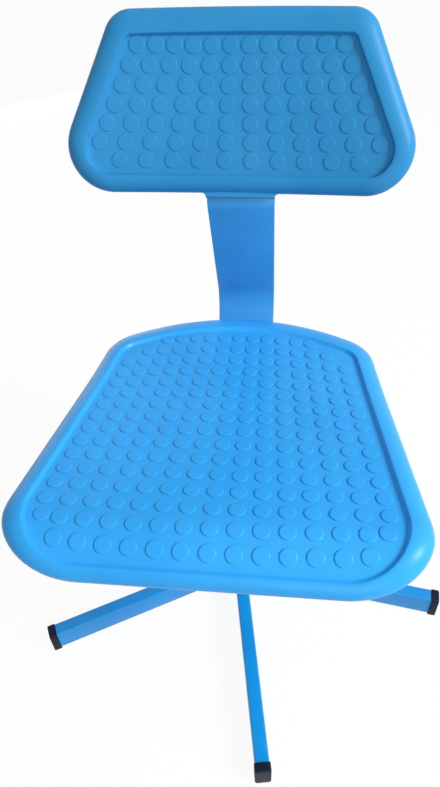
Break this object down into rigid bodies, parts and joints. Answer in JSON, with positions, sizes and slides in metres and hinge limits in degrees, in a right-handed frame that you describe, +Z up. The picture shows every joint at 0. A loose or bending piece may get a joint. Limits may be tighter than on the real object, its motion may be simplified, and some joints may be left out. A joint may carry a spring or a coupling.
{
  "type": "swivel desk chair",
  "caption": "Swivel desk chair with a moulded plastic seat and backrest, a bent flat-steel back bar and a height-adjustable column on a star base with end caps.",
  "frame": {"origin": "centre of the base's box, at floor level", "axes": "+Z up, the sitter faces -Y, +X is the sitter's left"},
  "size_m": [0.6278, 0.632, 0.8456],
  "materials": {
    "blue_paint": "semi-gloss cobalt blue paint",
    "black_plastic": "near-black matte",
    "bright_steel": "bright",
    "seat_plastic": "azure blue, satin gloss",
    "back_plastic": "mid blue, satin"
  },
  "bodies": {
    "base": {"hub": "blue_paint", "leg_1": "blue_paint", "leg_2": "blue_paint", "leg_3": "blue_paint", "leg_4": "blue_paint", "leg_5": "blue_paint", "end_cap_1": "black_plastic", "end_cap_2": "black_plastic", "end_cap_3": "black_plastic", "end_cap_4": "black_plastic", "end_cap_5": "black_plastic", "stand_tube": "blue_paint", "guide_bush": "black_plastic", "thrust_washer": "bright_steel"},
    "rod": {"piston_rod": "bright_steel", "retaining_clip": "bright_steel"},
    "seat": {"pressure_tube": "bright_steel", "column_socket": "blue_paint", "mounting_plate": "blue_paint", "seat_shell": "seat_plastic", "seat_screw_1": "bright_steel", "seat_screw_2": "bright_steel", "seat_screw_3": "bright_steel", "seat_screw_4": "bright_steel", "back_bar": "blue_paint", "bar_bolt_1": "bright_steel", "bar_bolt_2": "bright_steel", "bar_nut_1": "bright_steel", "bar_nut_2": "bright_steel", "backrest_shell": "back_plastic", "back_screw_1": "bright_steel", "back_screw_2": "bright_steel", "back_screw_3": "bright_steel", "back_screw_4": "bright_steel", "lever_bracket": "blue_paint", "lever_pin": "bright_steel"},
    "lever": {"release_lever": "bright_steel", "lever_grip": "black_plastic"},
    "button": {"release_button": "bright_steel"}
  },
  "joints": [
    {"name": "swivel", "type": "hinge", "parent": "base", "child": "rod", "pos_m": [-0.0164, 0.0126, 0], "axis": [0, 0, 1], "continuous": true},
    {"name": "height", "type": "slide", "parent": "rod", "child": "seat", "axis": [0, 0, 1], "range_m": [0, 0.1]},
    {"name": "lever_pull", "type": "hinge", "parent": "seat", "child": "lever", "pos_m": [0.0286, 0.01064, 0.42761], "axis": [0, -0.9942, 0.1075], "range_deg": [0, 5], "stiffness_Nm_per_rad": 2, "springref_deg": -5.73},
    {"name": "button_press", "type": "slide", "parent": "seat", "child": "button", "axis": [0, 0, -1], "range_m": [0, 0.004]}
  ],
  "couplings": [
    {"joint": "button_press", "follows": "lever_pull", "m_per_rad": 0.045}
  ]
}
